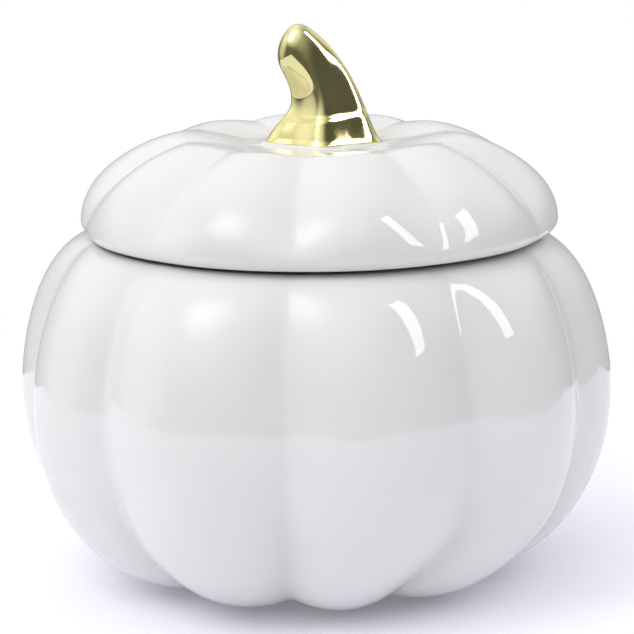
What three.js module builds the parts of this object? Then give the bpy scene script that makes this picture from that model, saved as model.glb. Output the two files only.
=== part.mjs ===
// Lidded pumpkin jar: a slip-cast ceramic jar with ten lobes, its domed lid, the gold stem that is
// the lid's knob, and a soft seal ring on the lid's flange.
// Millimetres, +Z up. The origin is the centre of the foot ring, on the surface that the jar stands
// on. Angles are in degrees from the front (-Y), positive towards the right (+X).
import * as THREE from "three";

// ---- Driving dimensions ----
const WALL = 5.5;
const LOBE_COLUMNS = 8; // mesh columns in one lobe
const COLUMN_GATHERING = 1.4; // higher sets more of a lobe's columns near its creases
const CREASE_ROUNDING = 0.1; // part of a half lobe over which the crease is rounded
const LOBE_FULLNESS = 2; // higher makes the crests broader and the creases' sides steeper

// Jar
const WAIST_RADIUS = 105;
const WAIST_HEIGHT = 67;
const WAIST_CREASE = 6.5; // depth of the creases at the waist
const SHOULDER_CREASE = 7; // how far the creases draw in the shoulder's curve
const LOWER_CREASE = 5; // how far the creases draw in the curve below the waist
const UNDERSIDE_RADIUS = 46.5;
const LOBE_CLEARANCE = 1; // the lobes' lowest points above the surface
const UNDERSIDE_CREASE = 3.3;
const FOOT_OUTER = 40;
const FOOT_INNER = 34;
const FOOT_RECESS = 3;
const FLOOR_HEIGHT = 8;
const LAND_HEIGHT = 123; // the flat land that the seal ring stands on
const LAND_RADIUS = 74;
const MOUTH_RADIUS = 63;
const MOUTH_DEPTH = 9.8;

const CREASE_BEND = [8, 36]; // heights between which the creases swing from the foot to the waist

// Each crease of the jar: its angle at the waist, and at the foot, where the lobes drift a little
const JAR_CREASES = [
  { waist: -45, foot: -42 },
  { waist: -5.8, foot: -8 },
  { waist: 31, foot: 23 },
  { waist: 66, foot: 61 },
  { waist: 100, foot: 98.5 },
  { waist: 137, foot: 134 },
  { waist: 173, foot: 171 },
  { waist: 209, foot: 205 },
  { waist: 246, foot: 244 },
  { waist: 282, foot: 281 },
];

// Lid
const LID_RADIUS = 83.8;
const LID_LOBES = 10;
const LID_CREASE_ANGLE = -6;
const LID_WALL = 5;
const NOSE_RADIUS = 4; // the rolled edge
const NOSE_BOTTOM = 123.8;
const LEDGE_HEIGHT = LAND_HEIGHT + 2.1; // underside of the ledge, over the seal's lip
const CROWN_RADIUS = 48;
const CROWN_HEIGHT = 157.2;
const SEAT_RADIUS = 22.5;
const SEAT_HEIGHT = 153.5; // flat seat that the stem is luted to
const FLANGE_OUTER = 58.5;
const FLANGE_INNER = 53.5;
const FLANGE_BOTTOM = 113;
const LID_OFFSET = 2; // the lid lies loose in the mouth, and rests this far to the right of centre

// Seal ring: a soft cushion ring with an L section, on the lid's flange
const FIT_GAP = 0.3;
const SEAL_INNER = FLANGE_OUTER + FIT_GAP;
const SEAL_SKIRT = 1.2;
const SEAL_RIB = 0.6;
const SEAL_LIP_RADIUS = 68.5;
const SEAL_LIP = 1.5;
const SEAL_SEGMENTS = 48;

// Stem: a horn with five ridges that leans to the left. Its left and right outlines are given as
// [x, height above the stem's base].
const STEM_BASE = SEAT_HEIGHT + FIT_GAP;
const STEM_LEFT = [[-18.2, 0], [-14.2, 11], [-2.7, 9.4], [-13.7, 28]];
const STEM_RIGHT = [[22.3, 0], [16.5, 8], [13.8, 30.5], [-4.7, 41.5]];
const STEM_RIDGES = [-3, 78, 140, 208, 272];
const STEM_HOLLOWS = [0.01, 0.04, 0.04, 0.04, 0.06]; // how far each face sinks in after its ridge
const STEM_RIDGE_REACH = 0.97; // the ridges are rounded off to this share of their reach
const STEM_DEPTH = 0.64; // front to back, as a share of the width
const STEM_LEVELS = [0, 0.02, 0.05, 0.1, 0.16, 0.22, 0.28, 0.35, 0.45, 0.55, 0.65, 0.75, 0.85, 0.92, 1];
const STEM_TIP_START = 0.955; // part of the outlines' length after which the tip is rounded
const STEM_TIP_RISE = 6.6;
const STEM_TIP_FULLNESS = 2.5; // 2 makes the tip an ellipsoid, higher makes it squarer
const STEM_COLLAR = 0.95; // a slight swelling of the foot towards the front and the back
const STEM_COLLAR_EDGE = 0.25; // share of the depth over which it thins out towards the sides
const STEM_COLLAR_FADE = [8.1, 10.7];
const STEM_FLARE = 0.45; // the foot flares once more at its lower edge
const STEM_FLARE_FADE = [0.5, 2.4];

const rad = THREE.MathUtils.degToRad;
const lerp = THREE.MathUtils.lerp;
const point = (r, z) => new THREE.Vector2(r, z);

// Points along a cubic Bezier from a to d, without the last one
function stretch(steps, a, b, c, d) {
  const curve = new THREE.CubicBezierCurve(point(...a), point(...b), point(...c), point(...d));
  return curve.getPoints(steps).slice(0, -1);
}

// 0 in a crease, 1 on a lobe's crest; toCrest runs from 0 to 1 between them
function lobeSwell(toCrest) {
  const e = CREASE_ROUNDING;
  const risen = (Math.hypot(toCrest, e) - e) / (Math.hypot(1, e) - e);
  return 1 - (1 - risen) ** LOBE_FULLNESS;
}

// A body turned about Z, whose surface swells between two profiles: one on the lobes' crests and one
// in the creases. creaseAngle(k, z) is the angle of crease k at height z.
function lobedTurning(crest, crease, lobes, creaseAngle) {
  const columns = lobes * LOBE_COLUMNS;
  const geometry = new THREE.LatheGeometry(crest, columns);
  const position = geometry.getAttribute("position");
  for (let column = 0; column <= columns; column += 1) {
    const lobe = Math.floor(column / LOBE_COLUMNS) % lobes;
    const even = (2 * (column % LOBE_COLUMNS)) / LOBE_COLUMNS - 1;
    const toCrest = (1 - Math.abs(even)) ** COLUMN_GATHERING;
    const across = (1 + Math.sign(even) * (1 - toCrest)) / 2;
    const swell = lobeSwell(toCrest);
    for (let row = 0; row < crest.length; row += 1) {
      const r = lerp(crease[row].x, crest[row].x, swell);
      const z = lerp(crease[row].y, crest[row].y, swell);
      const angle = rad(lerp(creaseAngle(lobe, z), creaseAngle(lobe + 1, z), across));
      position.setXYZ(column * crest.length + row, r * Math.sin(angle), -r * Math.cos(angle), z);
    }
  }
  return geometry;
}

// ---- Jar ----
function jarCreaseAngle(k, z) {
  const crease = JAR_CREASES[k % JAR_CREASES.length];
  const turns = Math.floor(k / JAR_CREASES.length);
  const risen = THREE.MathUtils.smoothstep(z, ...CREASE_BEND);
  return lerp(crease.foot, crease.waist, risen) + 360 * turns;
}

// depth is 0 on the crests and 1 in the creases
function jarProfile(depth) {
  const waist = WAIST_RADIUS - depth * WAIST_CREASE;
  const under = LOBE_CLEARANCE + depth * UNDERSIDE_CREASE;
  const inner = waist - WALL;
  const floor = FLOOR_HEIGHT + depth;
  const mouthBottom = LAND_HEIGHT - MOUTH_DEPTH;
  const drawnIn = depth * SHOULDER_CREASE;
  const tuckedIn = depth * LOWER_CREASE;
  return [
    point(0, FOOT_RECESS),
    point(FOOT_INNER - 1, FOOT_RECESS),
    point(FOOT_INNER, 0),
    point(FOOT_OUTER - 0.5, 0),
    point(FOOT_OUTER, 0.5),
    point(FOOT_OUTER + 0.3, under),
    ...stretch(
      8,
      [UNDERSIDE_RADIUS, under],
      [80.5 - tuckedIn, under],
      [waist - tuckedIn / 2, 29],
      [waist, WAIST_HEIGHT],
    ),
    ...stretch(
      7,
      [waist, WAIST_HEIGHT],
      [waist, 86],
      [97 - drawnIn, LAND_HEIGHT],
      [LAND_RADIUS, LAND_HEIGHT],
    ),
    point(LAND_RADIUS, LAND_HEIGHT),
    point(MOUTH_RADIUS + 0.8, LAND_HEIGHT),
    point(MOUTH_RADIUS, LAND_HEIGHT - 0.8),
    point(MOUTH_RADIUS, mouthBottom + 0.9),
    point(MOUTH_RADIUS + 0.9, mouthBottom),
    point(MOUTH_RADIUS + 3, mouthBottom + 0.5),
    ...stretch(
      5,
      [70, LAND_HEIGHT - WALL],
      [91 - drawnIn, LAND_HEIGHT - WALL],
      [inner, 84],
      [inner, WAIST_HEIGHT],
    ),
    ...stretch(
      5,
      [inner, WAIST_HEIGHT],
      [inner - tuckedIn / 2, 32],
      [77 - tuckedIn, floor],
      [44, floor],
    ),
    point(44, floor),
    point(36, FLOOR_HEIGHT),
    point(0, FLOOR_HEIGHT),
  ];
}

function jarGeometry() {
  return lobedTurning(jarProfile(0), jarProfile(1), JAR_CREASES.length, jarCreaseAngle);
}

// ---- Lid ----
function lidProfile(depth) {
  const noseCentre = { r: LID_RADIUS - NOSE_RADIUS, z: NOSE_BOTTOM + NOSE_RADIUS };
  const edge = LID_RADIUS - 1.8 * depth;
  const edgeHeight = noseCentre.z + 0.8 * depth;
  const crown = CROWN_HEIGHT - 1.2 * depth;
  const crownRadius = CROWN_RADIUS - 2 * depth;
  const inside = LID_RADIUS - LID_WALL - 0.4 - 2.6 * depth;
  const ceiling = SEAT_HEIGHT - LID_WALL;
  const nose = [-90, -65, -40, -20].map((turn) => {
    const r = noseCentre.r + NOSE_RADIUS * Math.cos(rad(turn));
    const z = noseCentre.z + NOSE_RADIUS * Math.sin(rad(turn));
    const faded = depth * (1 + turn / 90); // the creases die out under the edge
    return point(r - 1.8 * faded, z + 0.8 * faded);
  });
  return [
    point(0, ceiling),
    point(30, ceiling + 0.5),
    ...stretch(
      6,
      [46, crown - LID_WALL],
      [53 - 4 * depth, crown - LID_WALL],
      [inside - 1.5 - 4.6 * depth, 141.5 - 1.4 * depth],
      [inside, 133],
    ),
    point(inside, 133),
    point(inside - 2.4, LEDGE_HEIGHT + LID_WALL),
    point(FLANGE_INNER + 3, LEDGE_HEIGHT + LID_WALL),
    point(FLANGE_INNER, LEDGE_HEIGHT + LID_WALL - 3),
    point(FLANGE_INNER, FLANGE_BOTTOM + 0.8),
    point(FLANGE_INNER + 0.8, FLANGE_BOTTOM),
    point(FLANGE_OUTER, FLANGE_BOTTOM),
    point(FLANGE_OUTER + 1.3, FLANGE_BOTTOM + 0.8),
    point(FLANGE_OUTER + 1.3, FLANGE_BOTTOM + 1.6),
    point(FLANGE_OUTER, FLANGE_BOTTOM + 2.2),
    point(FLANGE_OUTER, LEDGE_HEIGHT - 0.5),
    point(FLANGE_OUTER + 0.5, LEDGE_HEIGHT),
    point(LAND_RADIUS + 0.5, LEDGE_HEIGHT),
    point(LAND_RADIUS + 3, NOSE_BOTTOM + 0.3),
    ...nose,
    ...stretch(
      8,
      [edge, edgeHeight],
      [LID_RADIUS - 7.5 * depth, 146.2 - 2.4 * depth],
      [56 - 4 * depth, CROWN_HEIGHT - 1.9 * depth],
      [crownRadius, crown],
    ),
    ...stretch(4, [crownRadius, crown], [38, crown], [30, SEAT_HEIGHT], [SEAT_RADIUS, SEAT_HEIGHT]),
    point(SEAT_RADIUS, SEAT_HEIGHT),
    point(0, SEAT_HEIGHT),
  ];
}

function lidGeometry() {
  const creaseAngle = (k) => LID_CREASE_ANGLE + (360 * k) / LID_LOBES;
  return lobedTurning(lidProfile(0), lidProfile(1), LID_LOBES, creaseAngle);
}

// ---- Seal ring ----
function sealGeometry() {
  const skirt = SEAL_INNER + SEAL_SKIRT;
  const lipBottom = LAND_HEIGHT + FIT_GAP;
  const lipTop = lipBottom + SEAL_LIP;
  const bottom = FLANGE_BOTTOM + 2.4;
  const rib = (z) => [point(skirt, z - 0.8), point(skirt + SEAL_RIB, z), point(skirt, z + 0.8)];
  const profile = [
    point(SEAL_INNER, bottom),
    point(skirt, bottom),
    ...rib(bottom + 2.4),
    ...rib(bottom + 5),
    point(skirt, lipBottom),
    point(SEAL_LIP_RADIUS, lipBottom),
    point(SEAL_LIP_RADIUS, lipTop),
    point(SEAL_INNER + 0.4, lipTop),
    point(SEAL_INNER, lipTop - 0.4),
    point(SEAL_INNER, bottom),
  ];
  return new THREE.LatheGeometry(profile, SEAL_SEGMENTS).rotateX(Math.PI / 2);
}

// ---- Stem ----
// One closed section of the stem: [right, front] points round the ridges, from -1 at the left to 1
// at the right. Each face between two ridges sinks in a little, and each ridge is rounded.
function stemSection() {
  const corners = STEM_RIDGES.map((a) => point(Math.sin(rad(a)), Math.cos(rad(a))));
  const outline = [];
  corners.forEach((corner, k) => {
    const next = corners[(k + 1) % corners.length];
    const sunk = corner.clone().lerp(next, 0.5).multiplyScalar(1 - 2 * STEM_HOLLOWS[k]);
    const face = new THREE.QuadraticBezierCurve(corner, sunk, next);
    outline.push(corner.clone().multiplyScalar(STEM_RIDGE_REACH));
    [0.12, 0.35, 0.65, 0.88].forEach((u) => outline.push(face.getPoint(u)));
  });
  const reaches = outline.map((at) => at.x);
  const [least, most] = [Math.min(...reaches), Math.max(...reaches)];
  const middle = point((least + most) / 2, 0);
  return outline.map((at) => at.sub(middle).multiplyScalar(2 / (most - least)));
}

function stemOutline(points) {
  return new THREE.CubicBezierCurve(...points.map(([x, height]) => point(x, STEM_BASE + height)));
}

// Each section spans from the left outline to the right one, so the sections tilt as the stem leans.
// Past the outlines' ends they shrink towards the middle and make the rounded tip.
function stemRows() {
  const [left, right] = [stemOutline(STEM_LEFT), stemOutline(STEM_RIGHT)];
  const ring = (from, to, size) => {
    const across = to.clone().sub(from).divideScalar(2);
    return { centre: from.clone().add(across), across: across.multiplyScalar(size), collar: 0 };
  };
  const rings = STEM_LEVELS.map((level) => {
    const [from, to] = [left, right].map((outline) => outline.getPoint(level * STEM_TIP_START));
    const height = (from.y + to.y) / 2 - STEM_BASE;
    const fade = (heights) => 1 - THREE.MathUtils.smoothstep(height, ...heights);
    const size = 1 + (2 * STEM_FLARE * fade(STEM_FLARE_FADE)) / from.distanceTo(to);
    return { ...ring(from, to, size), collar: STEM_COLLAR * fade(STEM_COLLAR_FADE) };
  });
  const cap = (rise, size) => {
    const ends = [left, right].map((outline) => {
      const onward = outline.getTangent(STEM_TIP_START);
      return outline.getPoint(STEM_TIP_START).addScaledVector(onward, rise);
    });
    return ring(...ends, size);
  };
  [18, 36, 54, 72].forEach((turn) => {
    const risen = Math.sin(rad(turn));
    const size = (1 - risen ** STEM_TIP_FULLNESS) ** (1 / STEM_TIP_FULLNESS);
    rings.push(cap(STEM_TIP_RISE * risen, size));
  });
  return [{ ...rings[0], across: point(0, 0), collar: 0 }, ...rings, cap(STEM_TIP_RISE, 0)];
}

function stemGeometry() {
  const section = stemSection();
  const rows = stemRows();
  const geometry = new THREE.LatheGeometry(rows.map((row, i) => point(1, i)), section.length);
  const position = geometry.getAttribute("position");
  rows.forEach(({ centre, across, collar }, i) => {
    for (let column = 0; column <= section.length; column += 1) {
      const { x: toRight, y: toFront } = section[column % section.length];
      const at = centre.clone().addScaledVector(across, toRight);
      const swollen = collar * THREE.MathUtils.clamp(toFront / STEM_COLLAR_EDGE, -1, 1);
      const forward = toFront * across.length() * STEM_DEPTH + swollen;
      position.setXYZ(column * rows.length + i, at.x, -forward, at.y);
    }
  });
  return geometry;
}

// ---- Assembly ----
const glaze = { color: 0xf2f1ee, roughness: 0.12, metalness: 0 };
const gold = { color: 0xd9c27a, roughness: 0.14, metalness: 1 };
const silicone = { color: 0xdcdcd6, roughness: 0.55, metalness: 0 };

function piece(name, geometry, look) {
  const mesh = new THREE.Mesh(geometry, new THREE.MeshStandardMaterial(look));
  mesh.name = name;
  return mesh;
}

const lidAssembly = new THREE.Group();
lidAssembly.position.x = LID_OFFSET;
lidAssembly.add(piece("lid", lidGeometry(), glaze));
lidAssembly.add(piece("stem", stemGeometry(), gold));
lidAssembly.add(piece("seal_ring", sealGeometry(), silicone));

const pumpkinJar = new THREE.Group();
pumpkinJar.add(piece("jar", jarGeometry(), glaze));
pumpkinJar.add(lidAssembly);

export default pumpkinJar;
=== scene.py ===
"""Looks of the lidded pumpkin jar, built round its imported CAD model. Lengths are in millimetres up to
the mesh builders, which turn them into metres. +Z is up and the front is -Y."""

import math

import bpy
from mathutils import Matrix, Vector, noise


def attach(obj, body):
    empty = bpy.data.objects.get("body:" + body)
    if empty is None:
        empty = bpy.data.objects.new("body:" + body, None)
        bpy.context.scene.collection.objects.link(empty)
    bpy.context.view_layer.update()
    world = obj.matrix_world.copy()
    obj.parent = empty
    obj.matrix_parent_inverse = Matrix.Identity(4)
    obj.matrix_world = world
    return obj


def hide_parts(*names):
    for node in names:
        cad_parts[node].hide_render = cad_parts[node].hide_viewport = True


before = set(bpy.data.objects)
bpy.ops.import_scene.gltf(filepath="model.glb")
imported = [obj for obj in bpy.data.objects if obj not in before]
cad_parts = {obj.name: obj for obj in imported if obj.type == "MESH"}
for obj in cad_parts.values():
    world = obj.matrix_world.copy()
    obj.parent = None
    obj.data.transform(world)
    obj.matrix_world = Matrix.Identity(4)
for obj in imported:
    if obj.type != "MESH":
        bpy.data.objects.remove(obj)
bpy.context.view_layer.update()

MM = 0.001
TAU = 2 * math.pi

# ---- Shared by the jar and the lid ----
LOBES = 10
LOBE_COLUMNS = 40
COLUMN_GATHERING = 1.4  # higher sets more of a lobe's columns near its creases
CREASE_ROUNDING = 0.1
LOBE_FULLNESS = 2
WALL = 5.5
FILLET_STEPS = 4

# ---- Jar ----
WAIST_RADIUS = 105
WAIST_HEIGHT = 67
WAIST_CREASE = 6.5
SHOULDER_CREASE = 7
LOWER_CREASE = 5
UNDERSIDE_RADIUS = 46.5
LOBE_CLEARANCE = 1
UNDERSIDE_CREASE = 3.3
FOOT_OUTER = 40
FOOT_INNER = 34
FOOT_RECESS = 3
FLOOR_HEIGHT = 8
LAND_HEIGHT = 123
LAND_RADIUS = 74
MOUTH_RADIUS = 63
MOUTH_DEPTH = 9.8
UNDERSIDE_HANDLE = 80.5  # the handles of the curves that make the wall's outline, outside
LOWER_SIDE_HANDLE = 29
UPPER_SIDE_HANDLE = 86
SHOULDER_HANDLE = 97
INSIDE_SHOULDER = 70  # and inside
INSIDE_SHOULDER_HANDLE = 91
INSIDE_UPPER_HANDLE = 84
INSIDE_LOWER_HANDLE = 32
INSIDE_FLOOR_HANDLE = 77
FLOOR_EDGE = 44
FLOOR_FLAT = 36
JAR_CREASES = [  # angle of each crease at the waist and at the foot
    (-45, -42),
    (-5.8, -8),
    (31, 23),
    (66, 61),
    (100, 98.5),
    (137, 134),
    (173, 171),
    (209, 205),
    (246, 244),
    (282, 281),
]
CREASE_BEND = (8, 36)  # heights between which the creases swing from the foot to the waist

# ---- Lid ----
LID_RADIUS = 83.8
LID_CREASE_ANGLE = -6
LID_WALL = 5
NOSE_RADIUS = 4
NOSE_BOTTOM = 123.8
LEDGE_HEIGHT = LAND_HEIGHT + 2.1
CROWN_RADIUS = 48
CROWN_HEIGHT = 157.2
SEAT_RADIUS = 22.5
SEAT_HEIGHT = 153.5
FLANGE_OUTER = 58.5
FLANGE_INNER = 53.5
FLANGE_BOTTOM = 113
LID_OFFSET = 2
LID_SIDE_HANDLE = 146.2  # the handles of the curves that make the dome's outline
LID_HIP_HANDLE = 56
LID_CROWN_HANDLE = 38
LID_DISH_HANDLE = 30
LID_HOLLOW_TOP = 30  # and the same inside the dome
LID_HOLLOW_SHOULDER = 46
LID_HOLLOW_HIP_HANDLE = 53
LID_HOLLOW_SIDE_HANDLE = 141.5
LID_HOLLOW_EDGE = 133  # height of the widest place inside the dome
LID_EDGE_CREASE = 1.8  # how far the creases draw in each part of the outline, or lower it
LID_EDGE_LIFT = 0.8
LID_SIDE_CREASE = 7.5
LID_SIDE_DROP = 2.4
LID_HIP_CREASE = 4
LID_HIP_DROP = 1.9
LID_CROWN_CREASE = 2
LID_CROWN_DROP = 1.2
LID_HOLLOW_CREASE = 2.6
LID_HOLLOW_SIDE_CREASE = 4.6
LID_HOLLOW_SIDE_DROP = 1.4

# ---- Seal ring ----
FIT_GAP = 0.3
SEAL_INNER = FLANGE_OUTER + FIT_GAP
SEAL_SKIRT = 1.2
SEAL_RIB = 0.6
SEAL_LIP_RADIUS = 68.5
SEAL_LIP = 1.5
SEAL_COLUMNS = 180

# ---- Stem ----
STEM_BASE = SEAT_HEIGHT + FIT_GAP
STEM_LEFT = [(-18.2, 0), (-14.2, 11), (-2.7, 9.4), (-13.7, 28)]
STEM_RIGHT = [(22.3, 0), (16.5, 8), (13.8, 30.5), (-4.7, 41.5)]
STEM_RIDGES = [-3, 78, 140, 208, 272]
STEM_HOLLOWS = [0.01, 0.04, 0.04, 0.04, 0.06]  # how far each face is sunk after its ridge
STEM_DEPTH = 0.64  # front to back, as a share of the width
STEM_SHARPNESS = 9  # higher makes the ridges crisper
STEM_RIDGE_REACH = 0.97
STEM_TIP_START = 0.955  # part of the outlines' length after which the tip is rounded
STEM_TIP_RISE = 6.6
STEM_TIP_FULLNESS = 2.5  # 2 makes the tip an ellipsoid, higher makes it squarer
STEM_TIP_SMOOTHING = 0.9  # how far the tip's section turns from ridged to round
STEM_COLLAR = 0.95  # a slight swelling of the foot towards the front and the back
STEM_COLLAR_EDGE = 0.25  # share of the depth over which it thins out towards the sides
STEM_COLLAR_FADE = (8.1, 10.7)
STEM_FLARE = 0.45  # the foot flares once more at its lower edge
STEM_FLARE_FADE = (0.5, 2.4)
STEM_FOOT_EDGE = [(0.8, 0), (0.35, 0.06), (0.1, 0.25), (0, 0.55)]  # inset and height of its rounding
STEM_TIP_AIM = 0.9  # the tip points on from here to its start
STEM_COLUMNS = 160
STEM_ROWS = 72
STEM_TIP_ROWS = 20

# ---- Surface waviness of the casting ----
WAVE_HEIGHT = 0.16
WAVE_LENGTH = 34
WAVE_JAR_SEED = 3
WAVE_LID_SEED = 11
LID_WAVE_RISE = (NOSE_BOTTOM + 2 * NOSE_RADIUS, 138)  # heights between which the lid's waves grow

# ---- Skirt of glaze round the stem's foot, on the lid ----
SKIRT_HEIGHT = 0.9
SKIRT_WIDTH = 1.4
SKIRT_SPUR = (38, 2.6)  # angle of the widest place, and how much wider it is
DRIPS_HEIGHT = 0.3  # small unevenness of the glaze near the stem
DRIPS_LENGTH = 5
DRIPS_REACH = 12


def lerp(a, b, t):
    return a + (b - a) * t


def smooth_step(low, high, value):
    t = min(1.0, max(0.0, (value - low) / (high - low)))
    return t * t * (3 - 2 * t)


def cubic(points, t):
    a, b, c, d = (Vector(p) for p in points)
    s = 1 - t
    return a * s**3 + b * (3 * s * s * t) + c * (3 * s * t * t) + d * t**3


def stretch(steps, *points):
    """Points along a cubic Bezier, without the last one."""
    return [cubic(points, i / steps) for i in range(steps)]


def straight(steps, a, b):
    """Points along a straight line, without the last one."""
    return [Vector(a).lerp(Vector(b), i / steps) for i in range(steps)]


def fillet(before, corner, after, radius):
    """Points round a corner of a profile, which starts to turn at radius from the corner."""
    before, corner, after = Vector(before), Vector(corner), Vector(after)
    start = corner + (before - corner).normalized() * radius
    end = corner + (after - corner).normalized() * radius
    turn = []
    for i in range(FILLET_STEPS + 1):
        t = i / FILLET_STEPS
        turn.append(start * (1 - t) ** 2 + corner * (2 * t * (1 - t)) + end * t * t)
    return turn


def lobe_swell(to_crest):
    """0 in a crease, 1 on a lobe's crest."""
    e = CREASE_ROUNDING
    risen = (math.hypot(to_crest, e) - e) / (math.hypot(1, e) - e)
    return 1 - (1 - risen) ** LOBE_FULLNESS


def mesh_object(name, vertices, faces):
    mesh = bpy.data.meshes.new(name)
    mesh.from_pydata([v * MM for v in vertices], [], faces)
    mesh.validate()
    mesh.update()
    mesh.shade_smooth()
    mesh.set_sharp_from_angle(angle=math.radians(50))
    obj = bpy.data.objects.new(name, mesh)
    bpy.context.scene.collection.objects.link(obj)
    return obj


def closed_rows(rows):
    """Vertices and faces of a closed skin over rows of points. The first and last rows are one point
    each; the others are rings of the same length, counter-clockwise seen from the last row's end."""
    vertices = [rows[0][0]]
    for ring in rows[1:-1]:
        vertices.extend(ring)
    vertices.append(rows[-1][0])
    n = len(rows[1])
    rings = len(rows) - 2
    last = 1 + (rings - 1) * n
    faces = []
    for j in range(n):
        k = (j + 1) % n
        faces.append((0, 1 + k, 1 + j))
        faces.append((last + j, last + k, len(vertices) - 1))
    for i in range(rings - 1):
        low = 1 + i * n
        for j in range(n):
            k = (j + 1) % n
            faces.append((low + j, low + k, low + n + k, low + n + j))
    return vertices, faces


def lobe_columns():
    """The mesh's columns: the lobe that each lies on, the share of the lobe's width, and the swell."""
    columns = []
    for lobe in range(LOBES):
        for column in range(LOBE_COLUMNS):
            even = 2 * column / LOBE_COLUMNS - 1
            to_crest = (1 - abs(even)) ** COLUMN_GATHERING
            across = (1 + math.copysign(1 - to_crest, even)) / 2
            columns.append((lobe, across, lobe_swell(to_crest)))
    return columns


def lobed_turning(name, crest, crease, crease_angle, shift, bend):
    """A body turned about Z whose surface swells between a profile on the crests and one in the
    creases. bend(point) returns the displaced point. Its attribute crease_shade, 1 in the creases,
    weights the painted shade there."""
    columns = lobe_columns()
    rows = []
    for high, low in zip(crest, crease):
        ring = []
        for lobe, across, swell in columns:
            r = lerp(low[0], high[0], swell)
            z = lerp(low[1], high[1], swell)
            a = math.radians(lerp(crease_angle(lobe, z), crease_angle(lobe + 1, z), across))
            ring.append(bend(Vector((r * math.sin(a), -r * math.cos(a), z))))
        rows.append(ring)
    for end in (0, -1):
        rows[end] = [sum(rows[end], Vector()) / len(rows[end])]
    vertices, faces = closed_rows(rows)
    obj = mesh_object(name, [v + Vector((shift, 0, 0)) for v in vertices], faces)
    # Weight of the painted shade in the creases.
    crease_weight = [(1 - swell) ** 3 for _, _, swell in columns]
    crease_shade = [0, *(crease_weight * (len(rows) - 2)), 0]
    obj.data.attributes.new("crease_shade", "FLOAT", "POINT").data.foreach_set("value", crease_shade)
    return obj


def wave(p, seed):
    """Gentle unevenness of a slip-cast wall at a point."""
    at = Vector(p) / WAVE_LENGTH + Vector((seed, 0, 0))
    return WAVE_HEIGHT * (noise.noise(at) + 0.35 * noise.noise(at * 2.3))


# ---- Jar ----
def jar_crease_angle(k, z):
    waist, foot = JAR_CREASES[k % LOBES]
    return lerp(foot, waist, smooth_step(*CREASE_BEND, z)) + 360 * (k // LOBES)


def jar_profile(depth):
    """depth is 0 on the crests and 1 in the creases."""
    waist = WAIST_RADIUS - depth * WAIST_CREASE
    under = LOBE_CLEARANCE + depth * UNDERSIDE_CREASE
    inner = waist - WALL
    floor = FLOOR_HEIGHT + depth
    land = LAND_HEIGHT
    drawn_in = SHOULDER_CREASE * depth
    tucked_in = LOWER_CREASE * depth
    mouth_bottom = land - MOUTH_DEPTH
    recess, ring_in, ring_out = FOOT_RECESS, FOOT_INNER, FOOT_OUTER
    lip = (MOUTH_RADIUS + 3, mouth_bottom + 0.5)
    return [
        Vector((0, recess)),
        *straight(4, (8, recess), (ring_in - 3, recess)),
        *fillet((0, recess), (ring_in - 1, recess), (ring_in, 0), 1.2),
        *fillet((ring_in - 1, recess), (ring_in, 0), (ring_out, 0), 0.7),
        *fillet((ring_in, 0), (ring_out, 0), (ring_out + 0.3, under), 0.6),
        *fillet((ring_out, 0), (ring_out + 0.3, under), (UNDERSIDE_RADIUS, under), 0.35),
        *stretch(
            34,
            (UNDERSIDE_RADIUS, under),
            (UNDERSIDE_HANDLE - tucked_in, under),
            (waist - tucked_in / 2, LOWER_SIDE_HANDLE),
            (waist, WAIST_HEIGHT),
        ),
        *stretch(
            30,
            (waist, WAIST_HEIGHT),
            (waist, UPPER_SIDE_HANDLE),
            (SHOULDER_HANDLE - drawn_in, land),
            (LAND_RADIUS, land),
        ),
        *straight(3, (LAND_RADIUS, land), (MOUTH_RADIUS + 2.5, land)),
        *fillet((LAND_RADIUS, land), (MOUTH_RADIUS, land), (MOUTH_RADIUS, mouth_bottom), 1.3),
        *straight(3, (MOUTH_RADIUS, land - 3), (MOUTH_RADIUS, mouth_bottom + 2)),
        *fillet((MOUTH_RADIUS, land), (MOUTH_RADIUS, mouth_bottom), lip, 1.2),
        Vector(lip),
        *stretch(
            14,
            (INSIDE_SHOULDER, land - WALL),
            (INSIDE_SHOULDER_HANDLE - drawn_in, land - WALL),
            (inner, INSIDE_UPPER_HANDLE),
            (inner, WAIST_HEIGHT),
        ),
        *stretch(
            20,
            (inner, WAIST_HEIGHT),
            (inner - tucked_in / 2, INSIDE_LOWER_HANDLE),
            (INSIDE_FLOOR_HANDLE - tucked_in, floor),
            (FLOOR_EDGE, floor),
        ),
        Vector((FLOOR_EDGE, floor)),
        Vector((FLOOR_FLAT, FLOOR_HEIGHT)),
        Vector((FLOOR_FLAT / 2, FLOOR_HEIGHT)),
        Vector((0, FLOOR_HEIGHT)),
    ]


def jar_bend(p):
    """The waviness of the wall, which fades out at the land and at the foot."""
    r = math.hypot(p.x, p.y)
    weight = smooth_step(LAND_RADIUS, LAND_RADIUS + 8, r) * smooth_step(0, 12, p.z)
    if weight == 0:
        return p
    outward = Vector((p.x / r, p.y / r, 0))
    return p + outward * (wave(p, WAVE_JAR_SEED) * weight)


# ---- Section of the stem ----
def stem_reach(angle):
    """How far the stem's section reaches at an angle from the front, at unit size."""
    total = 0.0
    reach = 0.0
    for k, ridge in enumerate(STEM_RIDGES):
        span = (STEM_RIDGES[(k + 1) % len(STEM_RIDGES)] - ridge) % 360
        middle = ridge + span / 2
        facing = math.cos(math.radians(angle - middle))
        if facing > 0:
            total += (facing / math.cos(math.radians(span / 2))) ** STEM_SHARPNESS
        along = ((angle - ridge) % 360) / span
        if along < 1:
            reach = 1 - STEM_HOLLOWS[k] * math.sin(math.pi * along) ** 2
    return reach * STEM_RIDGE_REACH * (2 / total) ** (1 / STEM_SHARPNESS)


def stem_outline():
    """The section's outline at unit size: points to the right and to the front."""
    outline = []
    for j in range(STEM_COLUMNS):
        angle = 360 * j / STEM_COLUMNS
        a, reach = math.radians(angle), stem_reach(angle)
        outline.append(Vector((reach * math.sin(a), reach * math.cos(a))))
    return outline


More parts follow.
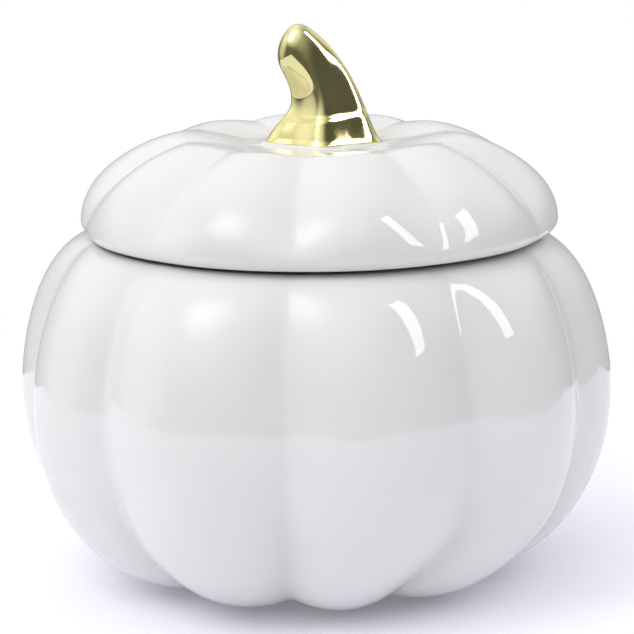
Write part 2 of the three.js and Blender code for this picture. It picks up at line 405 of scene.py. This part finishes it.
STEM_OUTLINE = stem_outline()
STEM_OUTLINE_LEFT = min(p.x for p in STEM_OUTLINE)
STEM_OUTLINE_RIGHT = max(p.x for p in STEM_OUTLINE)
STEM_OUTLINE_MIDDLE = (STEM_OUTLINE_LEFT + STEM_OUTLINE_RIGHT) / 2
STEM_OUTLINE_HALF = (STEM_OUTLINE_RIGHT - STEM_OUTLINE_LEFT) / 2


def stem_section():
    """Outline of the stem's section, which spans from -1 at the left to 1 at the right."""
    middle = Vector((STEM_OUTLINE_MIDDLE, 0))
    return [(p - middle) / STEM_OUTLINE_HALF for p in STEM_OUTLINE]


def outside_stem_foot(p):
    """Angle of a point round the stem's foot, and its distance outside the foot's outline."""
    (left, _), (right, _) = STEM_LEFT[0], STEM_RIGHT[0]
    scale = ((right - left) / 2 + STEM_FLARE) / STEM_OUTLINE_HALF
    across = (p.x - (left + right) / 2) / scale + STEM_OUTLINE_MIDDLE
    forward = -p.y - math.copysign(min(STEM_COLLAR, abs(p.y) / 2), -p.y)
    at = Vector((across, forward / STEM_DEPTH / scale))
    angle = math.degrees(math.atan2(at.x, at.y))
    return angle, (at.length - stem_reach(angle)) * scale


# ---- Lid ----
def lid_profile(depth):
    """depth is 0 on the crests and 1 in the creases."""
    nose_r, nose_z = LID_RADIUS - NOSE_RADIUS, NOSE_BOTTOM + NOSE_RADIUS
    edge = LID_RADIUS - LID_EDGE_CREASE * depth
    edge_height = nose_z + LID_EDGE_LIFT * depth
    crown = CROWN_HEIGHT - LID_CROWN_DROP * depth
    crown_radius = CROWN_RADIUS - LID_CROWN_CREASE * depth
    inside = LID_RADIUS - LID_WALL - 0.4 - LID_HOLLOW_CREASE * depth
    ceiling = SEAT_HEIGHT - LID_WALL
    ledge_top = LEDGE_HEIGHT + LID_WALL
    nose = []
    for i in range(12):
        turn = -90 + 90 * i / 12
        faded = depth * (1 + turn / 90)
        a = math.radians(turn)
        r = nose_r + NOSE_RADIUS * math.cos(a) - LID_EDGE_CREASE * faded
        nose.append(Vector((r, nose_z + NOSE_RADIUS * math.sin(a) + LID_EDGE_LIFT * faded)))
    under_crown = crown - LID_WALL
    hip = (inside - 2.4, ledge_top)
    band = FLANGE_OUTER + 1.3
    band_top = (band, FLANGE_BOTTOM + 2)
    return [
        Vector((0, ceiling)),
        Vector((LID_HOLLOW_TOP / 2, ceiling)),
        Vector((LID_HOLLOW_TOP, ceiling + 0.5)),
        *stretch(
            16,
            (LID_HOLLOW_SHOULDER, under_crown),
            (LID_HOLLOW_HIP_HANDLE - LID_HIP_CREASE * depth, under_crown),
            (
                inside - 1.5 - LID_HOLLOW_SIDE_CREASE * depth,
                LID_HOLLOW_SIDE_HANDLE - LID_HOLLOW_SIDE_DROP * depth,
            ),
            (inside, LID_HOLLOW_EDGE),
        ),
        *fillet((inside, LID_HOLLOW_EDGE), hip, (FLANGE_INNER + 3, ledge_top), 2),
        *straight(4, (inside - 6, ledge_top), (FLANGE_INNER + 6, ledge_top)),
        *stretch(
            6,
            (FLANGE_INNER + 4, ledge_top),
            (FLANGE_INNER + 1, ledge_top),
            (FLANGE_INNER, ledge_top - 1),
            (FLANGE_INNER, ledge_top - 4),
        ),
        *straight(3, (FLANGE_INNER, ledge_top - 4), (FLANGE_INNER, FLANGE_BOTTOM + 2)),
        *fillet((FLANGE_INNER, ledge_top), (FLANGE_INNER, FLANGE_BOTTOM), (band, FLANGE_BOTTOM), 1.2),
        *fillet((FLANGE_INNER, FLANGE_BOTTOM), (band, FLANGE_BOTTOM), band_top, 0.8),
        *fillet((band, FLANGE_BOTTOM), band_top, (FLANGE_OUTER, FLANGE_BOTTOM + 2.4), 0.5),
        Vector((FLANGE_OUTER, FLANGE_BOTTOM + 2.6)),
        *straight(3, (FLANGE_OUTER, FLANGE_BOTTOM + 3), (FLANGE_OUTER, LEDGE_HEIGHT - 1.2)),
        *fillet(
            (FLANGE_OUTER, FLANGE_BOTTOM),
            (FLANGE_OUTER, LEDGE_HEIGHT),
            (LAND_RADIUS, LEDGE_HEIGHT),
            0.7,
        ),
        *straight(4, (FLANGE_OUTER + 2, LEDGE_HEIGHT), (LAND_RADIUS - 0.5, LEDGE_HEIGHT)),
        *stretch(
            5,
            (LAND_RADIUS + 0.5, LEDGE_HEIGHT),
            (LAND_RADIUS + 2, LEDGE_HEIGHT),
            (nose_r - 3, NOSE_BOTTOM),
            (nose_r, NOSE_BOTTOM),
        ),
        *nose,
        *stretch(
            34,
            (edge, edge_height),
            (LID_RADIUS - LID_SIDE_CREASE * depth, LID_SIDE_HANDLE - LID_SIDE_DROP * depth),
            (LID_HIP_HANDLE - LID_HIP_CREASE * depth, CROWN_HEIGHT - LID_HIP_DROP * depth),
            (crown_radius, crown),
        ),
        *stretch(
            22,
            (crown_radius, crown),
            (LID_CROWN_HANDLE, crown),
            (LID_DISH_HANDLE, SEAT_HEIGHT),
            (SEAT_RADIUS, SEAT_HEIGHT),
        ),
        *straight(30, (SEAT_RADIUS, SEAT_HEIGHT), (8, SEAT_HEIGHT)),
        Vector((8, SEAT_HEIGHT)),
        Vector((0, SEAT_HEIGHT)),
    ]


def lid_crease_angle(k, _):
    return LID_CREASE_ANGLE + 360 * k / LOBES


def lid_bend(p):
    """The waviness of the dome, and the skirt and the drips of glaze round the stem's foot."""
    r = math.hypot(p.x, p.y)
    if p.z < LID_WAVE_RISE[0] or r < 1:
        return p
    weight = smooth_step(*LID_WAVE_RISE, p.z) * smooth_step(SEAT_RADIUS + 4, SEAT_RADIUS + 14, r)
    angle, outside = outside_stem_foot(p)
    spur_angle, spur = SKIRT_SPUR
    width = SKIRT_WIDTH * (1 + spur * (1 - smooth_step(0, 26, abs(angle - spur_angle))))
    skirt = SKIRT_HEIGHT * (1 - smooth_step(-0.2, width, outside + 0.5 * noise.noise(p / 3)))
    drips = DRIPS_HEIGHT * noise.noise(p / DRIPS_LENGTH) * (1 - smooth_step(3, DRIPS_REACH, outside))
    lift = skirt + drips if p.z > SEAT_HEIGHT - 1 else 0
    return p + Vector((0, 0, wave(p, WAVE_LID_SEED) * weight + lift))


# ---- Stem ----
def stem_rows():
    """Rows of the stem's skin, from the middle of its foot to the middle of its tip."""
    ridged = stem_section()
    turns = [TAU * j / STEM_COLUMNS for j in range(STEM_COLUMNS)]
    rounded = [Vector((math.sin(a), math.cos(a))) for a in turns]

    def section(centre, across, roundness=0, collar=0):
        ring = []
        depth = across.length * STEM_DEPTH
        for sharp, smooth in zip(ridged, rounded):
            to_right, to_front = sharp.lerp(smooth, roundness)
            at = centre + across * to_right
            swollen = collar * max(-1, min(1, to_front / STEM_COLLAR_EDGE))
            ring.append(Vector((at.x, -depth * to_front - swollen, at.y)))
        return ring

    def edges(t):
        return [cubic(outline, t) + Vector((0, STEM_BASE)) for outline in (STEM_LEFT, STEM_RIGHT)]

    def outlines(t):
        left, right = edges(t)
        return (left + right) / 2, (right - left) / 2

    rows = []
    centre, across = outlines(0)
    rows.append([Vector((centre.x, 0, centre.y))])
    for inset, rise in STEM_FOOT_EDGE:
        wide = across * (1 + (STEM_FLARE - inset) / across.length)
        rows.append(section(centre + Vector((0, rise)), wide, 0, STEM_COLLAR))
    for i in range(2, STEM_ROWS + 1):
        centre, across = outlines(STEM_TIP_START * i / STEM_ROWS)
        height = centre.y - STEM_BASE
        collar = STEM_COLLAR * (1 - smooth_step(*STEM_COLLAR_FADE, height))
        flare = STEM_FLARE * (1 - smooth_step(*STEM_FLARE_FADE, height))
        roundness = STEM_TIP_SMOOTHING * smooth_step(0.6, 1, i / STEM_ROWS)
        rows.append(section(centre, across * (1 + flare / across.length), roundness, collar))
    ends = edges(STEM_TIP_START)
    onward = [(end - before).normalized() for end, before in zip(ends, edges(STEM_TIP_AIM))]

    def cap(rise, size):
        left, right = (end + way * rise for end, way in zip(ends, onward))
        return section((left + right) / 2, (right - left) * (size / 2), STEM_TIP_SMOOTHING)

    for i in range(1, STEM_TIP_ROWS):
        risen = math.sin(math.pi / 2 * i / STEM_TIP_ROWS)
        size = (1 - risen**STEM_TIP_FULLNESS) ** (1 / STEM_TIP_FULLNESS)
        rows.append(cap(STEM_TIP_RISE * risen, size))
    rows.append([sum(cap(STEM_TIP_RISE, 0), Vector()) / STEM_COLUMNS])
    return rows


def make_stem():
    vertices, faces = closed_rows(stem_rows())
    return mesh_object("gold_stem", [v + Vector((LID_OFFSET, 0, 0)) for v in vertices], faces)


# ---- Seal ring ----
def make_seal():
    skirt = SEAL_INNER + SEAL_SKIRT
    lip_bottom = LAND_HEIGHT + FIT_GAP
    lip_top = lip_bottom + SEAL_LIP
    bottom = FLANGE_BOTTOM + 2.4

    def rib(z):
        ridge = (skirt + SEAL_RIB, z)
        return [
            Vector((skirt, z - 0.9)),
            *fillet((skirt, z - 0.8), ridge, (skirt, z + 0.8), 0.5),
            Vector((skirt, z + 0.9)),
        ]

    profile = [
        *fillet((SEAL_INNER, lip_top), (SEAL_INNER, bottom), (skirt, bottom), 0.35),
        *fillet((SEAL_INNER, bottom), (skirt, bottom), (skirt, lip_bottom), 0.35),
        *rib(bottom + 2.4),
        *rib(bottom + 5),
        *fillet((skirt, bottom), (skirt, lip_bottom), (SEAL_LIP_RADIUS, lip_bottom), 0.4),
        *fillet((skirt, lip_bottom), (SEAL_LIP_RADIUS, lip_bottom), (SEAL_LIP_RADIUS, lip_top), 0.5),
        *fillet((SEAL_LIP_RADIUS, lip_bottom), (SEAL_LIP_RADIUS, lip_top), (SEAL_INNER, lip_top), 0.5),
        *fillet((SEAL_LIP_RADIUS, lip_top), (SEAL_INNER, lip_top), (SEAL_INNER, bottom), 0.4),
    ]
    n = len(profile)
    vertices, faces = [], []
    for column in range(SEAL_COLUMNS):
        a = TAU * column / SEAL_COLUMNS
        for r, z in profile:
            vertices.append(Vector((LID_OFFSET + r * math.sin(a), -r * math.cos(a), z)))
        after = (column + 1) % SEAL_COLUMNS
        for i in range(n):
            j = (i + 1) % n
            faces.append((column * n + i, after * n + i, after * n + j, column * n + j))
    return mesh_object("silicone_seal", vertices, faces)


# ---- Materials ----
class Nodes:
    """A short way to write a node tree."""

    def __init__(self, tree):
        self.tree = tree
        tree.nodes.clear()

    def add(self, kind, values=None, **settings):
        node = self.tree.nodes.new(kind)
        for name, value in settings.items():
            setattr(node, name, value)
        for name, value in (values or {}).items():
            self.put(node.inputs[name], value)
        return node

    def put(self, socket, value):
        if isinstance(value, bpy.types.NodeSocket):
            self.tree.links.new(value, socket)
        else:
            socket.default_value = value

    def maths(self, operation, a, b):
        return self.add("ShaderNodeMath", {0: a, 1: b}, operation=operation).outputs[0]

    def fade(self, value, low, high, at_low=0.0, at_high=1.0):
        """A smooth ramp from at_low, where value is low, to at_high, where it is high."""
        values = {"Value": value, "From Min": low, "From Max": high, "To Min": at_low, "To Max": at_high}
        node = self.add("ShaderNodeMapRange", values, interpolation_type="SMOOTHSTEP")
        return node.outputs["Result"]

    def noise(self, vector, scale, detail, roughness=0.5):
        """Noise from 0 to 1. The scale is in waves to a metre."""
        values = {"Vector": vector, "Scale": scale, "Detail": detail, "Roughness": roughness}
        return self.add("ShaderNodeTexNoise", values).outputs["Fac"]

    def mix(self, factor, a, b):
        """Colour a where the factor is 0 and b where it is 1."""
        return self.add("ShaderNodeMix", {0: factor, 6: a, 7: b}, data_type="RGBA").outputs[2]

    def bump(self, height, distance, strength, normal=None):
        node = self.add(
            "ShaderNodeBump", {"Height": height, "Distance": distance, "Strength": strength}
        )
        if normal is not None:
            self.put(node.inputs["Normal"], normal)
        return node.outputs["Normal"]


def new_material(name):
    material = bpy.data.materials.new(name)
    material.use_nodes = True
    nodes = Nodes(material.node_tree)
    place = nodes.add("ShaderNodeTexCoord").outputs["Object"]
    return material, nodes, place


def finish_material(nodes, shader):
    nodes.add("ShaderNodeOutputMaterial", {"Surface": shader})


GLAZE = (0.74, 0.737, 0.727, 1)
GLAZE_THIN = (0.70, 0.69, 0.67, 1)
GLAZE_POOLED = (0.755, 0.755, 0.75, 1)
# Painted shade in the creases, stronger towards the foot.
PAINTED_CREASE_SHADE = (0.6, 0.59, 0.6, 1)
PINHOLE = (0.62, 0.6, 0.56, 1)
# Colour of the unglazed foot; the same dark colour also paints the shade in the gap between the lid and
# the jar.
CLAY_AND_GAP_SHADE = (0.34, 0.31, 0.26, 1)
CLAY_DARK_AND_GAP_SHADE = (0.24, 0.215, 0.175, 1)
MATT = (0.78, 0.78, 0.78, 1)  # roughness of the unglazed foot and of the painted gap shade, as a colour for the mix
FOOT_BARE = 0.5  # height below which the jar is unglazed
JAR_GAP_SHADE = (LAND_RADIUS + 4, 122.2, 140)  # painted shade in the gap where the lid and the jar meet, coloured as a dark unglazed body: its radius, and its heights
LID_GAP_SHADE = (LID_RADIUS - 4, 100, 126)


def seat_gap_shade(nodes, place, height, shift, gap_shade):
    """1 where the lid and the jar meet, inside the gap, whose shade is painted there as a dark colour.
    """
    radius, low, high = gap_shade
    centred = nodes.add(
        "ShaderNodeVectorMath", {0: place, 1: (shift * MM, 0, 0)}, operation="SUBTRACT"
    )
    level = nodes.add(
        "ShaderNodeVectorMath", {0: centred.outputs[0], 1: (1, 1, 0)}, operation="MULTIPLY"
    )
    across = nodes.add("ShaderNodeVectorMath", {0: level.outputs[0]}, operation="LENGTH")
    near = nodes.fade(across.outputs["Value"], radius * MM, (radius - 0.8) * MM)
    above = nodes.fade(height, (low - 0.2) * MM, (low + 0.2) * MM)
    below = nodes.fade(height, (high + 0.2) * MM, (high - 0.2) * MM)
    return nodes.maths("MULTIPLY", near, nodes.maths("MULTIPLY", above, below))


def glaze_material(name, shift, gap_shade, foot=None):
    """White glossy glaze over the ceramic body, unglazed below the height foot. Where the lid and the
    jar meet, a dark unglazed colour paints the shade of the gap; where foot is given, painted shade also
    darkens the creases, more towards the foot.
    """
    material, nodes, place = new_material(name)
    broad = nodes.noise(place, 22, 3)
    fine = nodes.noise(place, 420, 4, 0.6)
    specks = nodes.noise(place, 1500, 1)
    tint = nodes.mix(nodes.fade(broad, 0.3, 0.7), GLAZE, GLAZE_POOLED)
    tint = nodes.mix(nodes.fade(fine, 0.58, 0.8, 0, 0.25), tint, GLAZE_THIN)
    pinhole = nodes.fade(specks, 0.83, 0.9, 0, 0.5)
    tint = nodes.mix(pinhole, tint, PINHOLE)
    gloss = nodes.fade(broad, 0.35, 0.65, 0.01, 0.03)
    gloss = nodes.maths("ADD", gloss, nodes.fade(fine, 0.55, 0.85, 0, 0.03))
    peel = nodes.bump(nodes.noise(place, 260, 2), 0.00003, 0.6)
    peel = nodes.bump(nodes.noise(place, 60, 2), 0.00016, 0.6, peel)
    height = nodes.add("ShaderNodeSeparateXYZ", {"Vector": place}).outputs["Z"]
    # Painted shade: the gap where the lid and the jar meet is coloured dark.
    unglazed_and_gap_shade = seat_gap_shade(nodes, place, height, shift, gap_shade)
    if foot is not None:
        # Painted shade: the creases are darkened, more towards the foot.
        crease_weight = nodes.add("ShaderNodeAttribute", attribute_name="crease_shade").outputs["Fac"]
        low = nodes.fade(height, 0.02, 0.062, 0.55, 0.1)
        tint = nodes.mix(nodes.maths("MULTIPLY", crease_weight, low), tint, PAINTED_CREASE_SHADE)
        ragged = nodes.maths("MULTIPLY", nodes.noise(place, 160, 3), 0.0008)
        edge = nodes.maths("ADD", height, ragged)
        bare_foot = nodes.fade(edge, foot * MM + 0.0006, foot * MM + 0.0003)
        unglazed_and_gap_shade = nodes.maths("MAXIMUM", unglazed_and_gap_shade, bare_foot)
    grain = nodes.noise(place, 2600, 5, 0.7)
    clay_and_gap_shade = nodes.mix(nodes.fade(grain, 0.3, 0.7), CLAY_AND_GAP_SHADE, CLAY_DARK_AND_GAP_SHADE)
    # Unglazed colour at the foot, and the painted shade of the gap.
    tint = nodes.mix(unglazed_and_gap_shade, tint, clay_and_gap_shade)
    gloss = nodes.mix(unglazed_and_gap_shade, gloss, MATT)
    peel = nodes.bump(nodes.maths("MULTIPLY", grain, unglazed_and_gap_shade), 0.0001, 0.8, peel)
    shader = nodes.add(
        "ShaderNodeBsdfPrincipled",
        {
            "Base Color": tint,
            "Roughness": gloss,
            "IOR": 1.56,
            "Subsurface Weight": 0.12,
            "Subsurface Radius": (0.004, 0.0036, 0.003),
            "Subsurface Scale": 0.5,
            "Normal": peel,
        },
    )
    finish_material(nodes, shader.outputs[0])
    return material


GOLD = (0.70, 0.64, 0.29, 1)
GOLD_PALE = (0.74, 0.68, 0.35, 1)
GOLD_DULL = (0.56, 0.47, 0.22, 1)


def gold_material():
    material, nodes, place = new_material("gold_plate")
    broad = nodes.noise(place, 70, 3)
    fine = nodes.noise(place, 900, 4, 0.6)
    tint = nodes.mix(nodes.fade(broad, 0.3, 0.7), GOLD, GOLD_PALE)
    tint = nodes.mix(nodes.fade(fine, 0.6, 0.8, 0, 0.2), tint, GOLD_DULL)
    gloss = nodes.fade(broad, 0.3, 0.7, 0.05, 0.11)
    gloss = nodes.maths("ADD", gloss, nodes.fade(fine, 0.55, 0.8, 0, 0.06))
    peel = nodes.bump(nodes.noise(place, 700, 2), 0.00001, 0.6)
    peel = nodes.bump(nodes.noise(place, 140, 2), 0.00006, 0.7, peel)
    shader = nodes.add(
        "ShaderNodeBsdfPrincipled",
        {"Base Color": tint, "Metallic": 1.0, "Roughness": gloss, "Normal": peel},
    )
    finish_material(nodes, shader.outputs[0])
    return material


SILICONE = (0.70, 0.71, 0.69, 1)
SILICONE_CLOUDY = (0.78, 0.78, 0.74, 1)


def silicone_material():
    material, nodes, place = new_material("clear_silicone")
    broad = nodes.noise(place, 90, 3)
    fine = nodes.noise(place, 1400, 3)
    tint = nodes.mix(nodes.fade(broad, 0.3, 0.7), SILICONE, SILICONE_CLOUDY)
    gloss = nodes.fade(fine, 0.3, 0.7, 0.38, 0.55)
    shader = nodes.add(
        "ShaderNodeBsdfPrincipled",
        {
            "Base Color": tint,
            "Roughness": gloss,
            "IOR": 1.41,
            "Subsurface Weight": 0.6,
            "Subsurface Radius": (0.003, 0.003, 0.003),
            "Subsurface Scale": 0.6,
            "Normal": nodes.bump(fine, 0.00004, 0.6),
        },
    )
    finish_material(nodes, shader.outputs[0])
    return material


# ---- Pieces ----
def dress(obj, material, node, body):
    obj.data.materials.append(material)
    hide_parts(node)
    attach(obj, body)


jar = lobed_turning("glazed_jar", jar_profile(0), jar_profile(1), jar_crease_angle, 0, jar_bend)
lid = lobed_turning(
    "glazed_lid", lid_profile(0), lid_profile(1), lid_crease_angle, LID_OFFSET, lid_bend
)
stem = make_stem()
seal = make_seal()
dress(jar, glaze_material("white_glaze", 0, JAR_GAP_SHADE, FOOT_BARE), "jar", "jar")
dress(lid, glaze_material("white_glaze_lid", LID_OFFSET, LID_GAP_SHADE), "lid", "lid")
dress(stem, gold_material(), "stem", "lid")
dress(seal, silicone_material(), "seal_ring", "seal")

# ---- Stage ----
# From here on lengths are in metres.
FLOOR_FRONT = 0.85
FLOOR_SIDE = 0.62
FLOOR_BACK = 0.3  # near behind the jar, so that the glaze shows the floor's far edge
FLOOR_TINT = (0.865, 0.86, 0.94, 1)
FLOOR_TINT_PALE = (0.885, 0.88, 0.96, 1)
FLOOR_GLOW = (0.96, 0.96, 1.0, 1)
LIGHT_TARGET = (0, 0, 0.1)
WINDOW_PLACE = (0.766, -0.407, 0.777)
WINDOW_SIZE = (0.2, 0.76)
WINDOW_RADIANCE = 5.4
KEY_PLACE = (-0.62, -0.56, 1.03)
KEY_RADIUS = 0.56
KEY_RADIANCE = 2.5
KEY_SIDES = 64
ROOM_LIGHTS = [  # azimuth and elevation, cosine at the rim, radiance, share left at the horizon
    (-80, 25, -0.1, 0.7, 0.08),
    (-95, 8, 0.8, 0.7, 1),
    (-25, 40, 0.6, 0.52, 0.08),
    (110, 20, 0.75, 0.8, 0.1),
    (180, 30, 0.2, 0.5, 0.08),
    (180, 4, 0.5, 0.24, 1),
    (-20, 80, 0.5, 0.45, 0.08),
]
ROOM_DIM = 0.12  # radiance of the room where no light is
BACKDROP = (1.0, 1.0, 1.0, 1)


def card(name, corners):
    mesh = bpy.data.meshes.new(name)
    mesh.from_pydata(corners, [], [tuple(range(len(corners)))])
    mesh.update()
    obj = bpy.data.objects.new(name, mesh)
    bpy.context.scene.collection.objects.link(obj)
    return obj


def make_floor():
    near = [(-FLOOR_SIDE, -FLOOR_FRONT, 0), (FLOOR_SIDE, -FLOOR_FRONT, 0)]
    far = [(FLOOR_SIDE, FLOOR_BACK, 0), (-FLOOR_SIDE, FLOOR_BACK, 0)]
    floor = card("floor", near + far)
    material, nodes, place = new_material("floor_white")
    grain = nodes.fade(nodes.noise(place, 8, 3), 0.3, 0.7)
    tint = nodes.mix(grain, FLOOR_TINT, FLOOR_TINT_PALE)
    shader = nodes.add(
        "ShaderNodeBsdfPrincipled",
        {
            "Base Color": tint,
            "Roughness": 0.9,
            "Emission Color": FLOOR_GLOW,
            "Emission Strength": 0.1,
        },
    )
    finish_material(nodes, shader.outputs[0])
    floor.data.materials.append(material)


def direction_at(azimuth, elevation):
    """Unit vector at an azimuth from the front towards the right, and an elevation, in degrees."""
    a, e = math.radians(azimuth), math.radians(elevation)
    return Vector((math.sin(a) * math.cos(e), -math.cos(a) * math.cos(e), math.sin(e)))


def make_world():
    """A dim room with broad soft lights. The camera itself sees a plain white backdrop."""
    world = bpy.data.worlds.new("studio")
    bpy.context.scene.world = world
    world.use_nodes = True
    nodes = Nodes(world.node_tree)
    direction = nodes.add("ShaderNodeTexCoord").outputs["Generated"]
    up = nodes.add("ShaderNodeSeparateXYZ", {"Vector": direction}).outputs["Z"]
    level = ROOM_DIM
    for azimuth, elevation, rim, radiance, low in ROOM_LIGHTS:
        pair = {0: direction, 1: direction_at(azimuth, elevation)}
        towards = nodes.add("ShaderNodeVectorMath", pair, operation="DOT_PRODUCT")
        glow = nodes.fade(towards.outputs["Value"], rim, 1, 0, radiance)
        glow = nodes.maths("MULTIPLY", glow, nodes.fade(up, 0.04, 0.5, low, 1))
        level = nodes.maths("ADD", glow, level)
    seen = nodes.add("ShaderNodeLightPath").outputs["Is Camera Ray"]
    shown = nodes.mix(seen, level, BACKDROP)
    background = nodes.add("ShaderNodeBackground", {"Color": shown, "Strength": 1.0})
    nodes.add("ShaderNodeOutputWorld", {"Surface": background.outputs[0]})


def aim_light(obj, place):
    obj.location = place
    obj.rotation_euler = (Vector(place) - Vector(LIGHT_TARGET)).to_track_quat("Z", "Y").to_euler()
    obj.visible_camera = False


def area_light(name, place, size, radiance):
    """A rectangular soft light that faces the jar. radiance is what it shows in a mirror."""
    data = bpy.data.lights.new(name, "AREA")
    data.shape = "RECTANGLE"
    data.size, data.size_y = size
    data.energy = radiance * math.pi * size[0] * size[1]
    obj = bpy.data.objects.new(name, data)
    bpy.context.scene.collection.objects.link(obj)
    aim_light(obj, place)


def soft_disc(name, place, radius, radiance):
    """A round softbox that is brightest in the middle."""
    turns = [TAU * i / KEY_SIDES for i in range(KEY_SIDES)]
    disc = card(name, [(radius * math.cos(a), radius * math.sin(a), 0) for a in turns])
    aim_light(disc, place)
    material, nodes, at = new_material(name)
    distance = nodes.add("ShaderNodeVectorMath", {0: at}, operation="LENGTH").outputs["Value"]
    level = nodes.fade(distance, 0.15 * radius, radius, radiance, 0)
    emission = nodes.add("ShaderNodeEmission", {"Color": (1, 1, 1, 1), "Strength": level})
    clear = nodes.add("ShaderNodeBsdfTransparent")
    glow = nodes.add("ShaderNodeAddShader", {0: emission.outputs[0], 1: clear.outputs[0]})
    finish_material(nodes, glow.outputs[0])
    disc.data.materials.append(material)


make_floor()
make_world()
area_light("window", WINDOW_PLACE, WINDOW_SIZE, WINDOW_RADIANCE)
soft_disc("key", KEY_PLACE, KEY_RADIUS, KEY_RADIANCE)

# ---- Camera ----
CAMERA_TARGET = Vector((0, 0, 0.080))
CAMERA_DISTANCE = 0.945
CAMERA_ELEVATION = math.radians(13.09)
CAMERA_AIM_UP = math.radians(0.674)
CAMERA_AIM_RIGHT = math.radians(0.055)
CAMERA_ROLL = math.radians(0.67)
CAMERA_LENS = 151.0


def make_camera():
    data = bpy.data.cameras.new("camera")
    data.lens = CAMERA_LENS
    data.sensor_width = 36
    data.clip_start, data.clip_end = 0.05, 50
    camera = bpy.data.objects.new("camera", data)
    bpy.context.scene.collection.objects.link(camera)
    e = CAMERA_ELEVATION
    back = Vector((0, -math.cos(e), math.sin(e)))
    facing = back.to_track_quat("Z", "Y").to_matrix()
    aim = (
        Matrix.Rotation(-CAMERA_ROLL, 3, "Z")
        @ Matrix.Rotation(CAMERA_AIM_UP, 3, "X")
        @ Matrix.Rotation(-CAMERA_AIM_RIGHT, 3, "Y")
    )
    camera.matrix_world = Matrix.LocRotScale(
        CAMERA_TARGET + back * CAMERA_DISTANCE, (facing @ aim).to_quaternion(), None
    )
    bpy.context.scene.camera = camera


make_camera()
bpy.context.scene.view_settings.view_transform = "Standard"
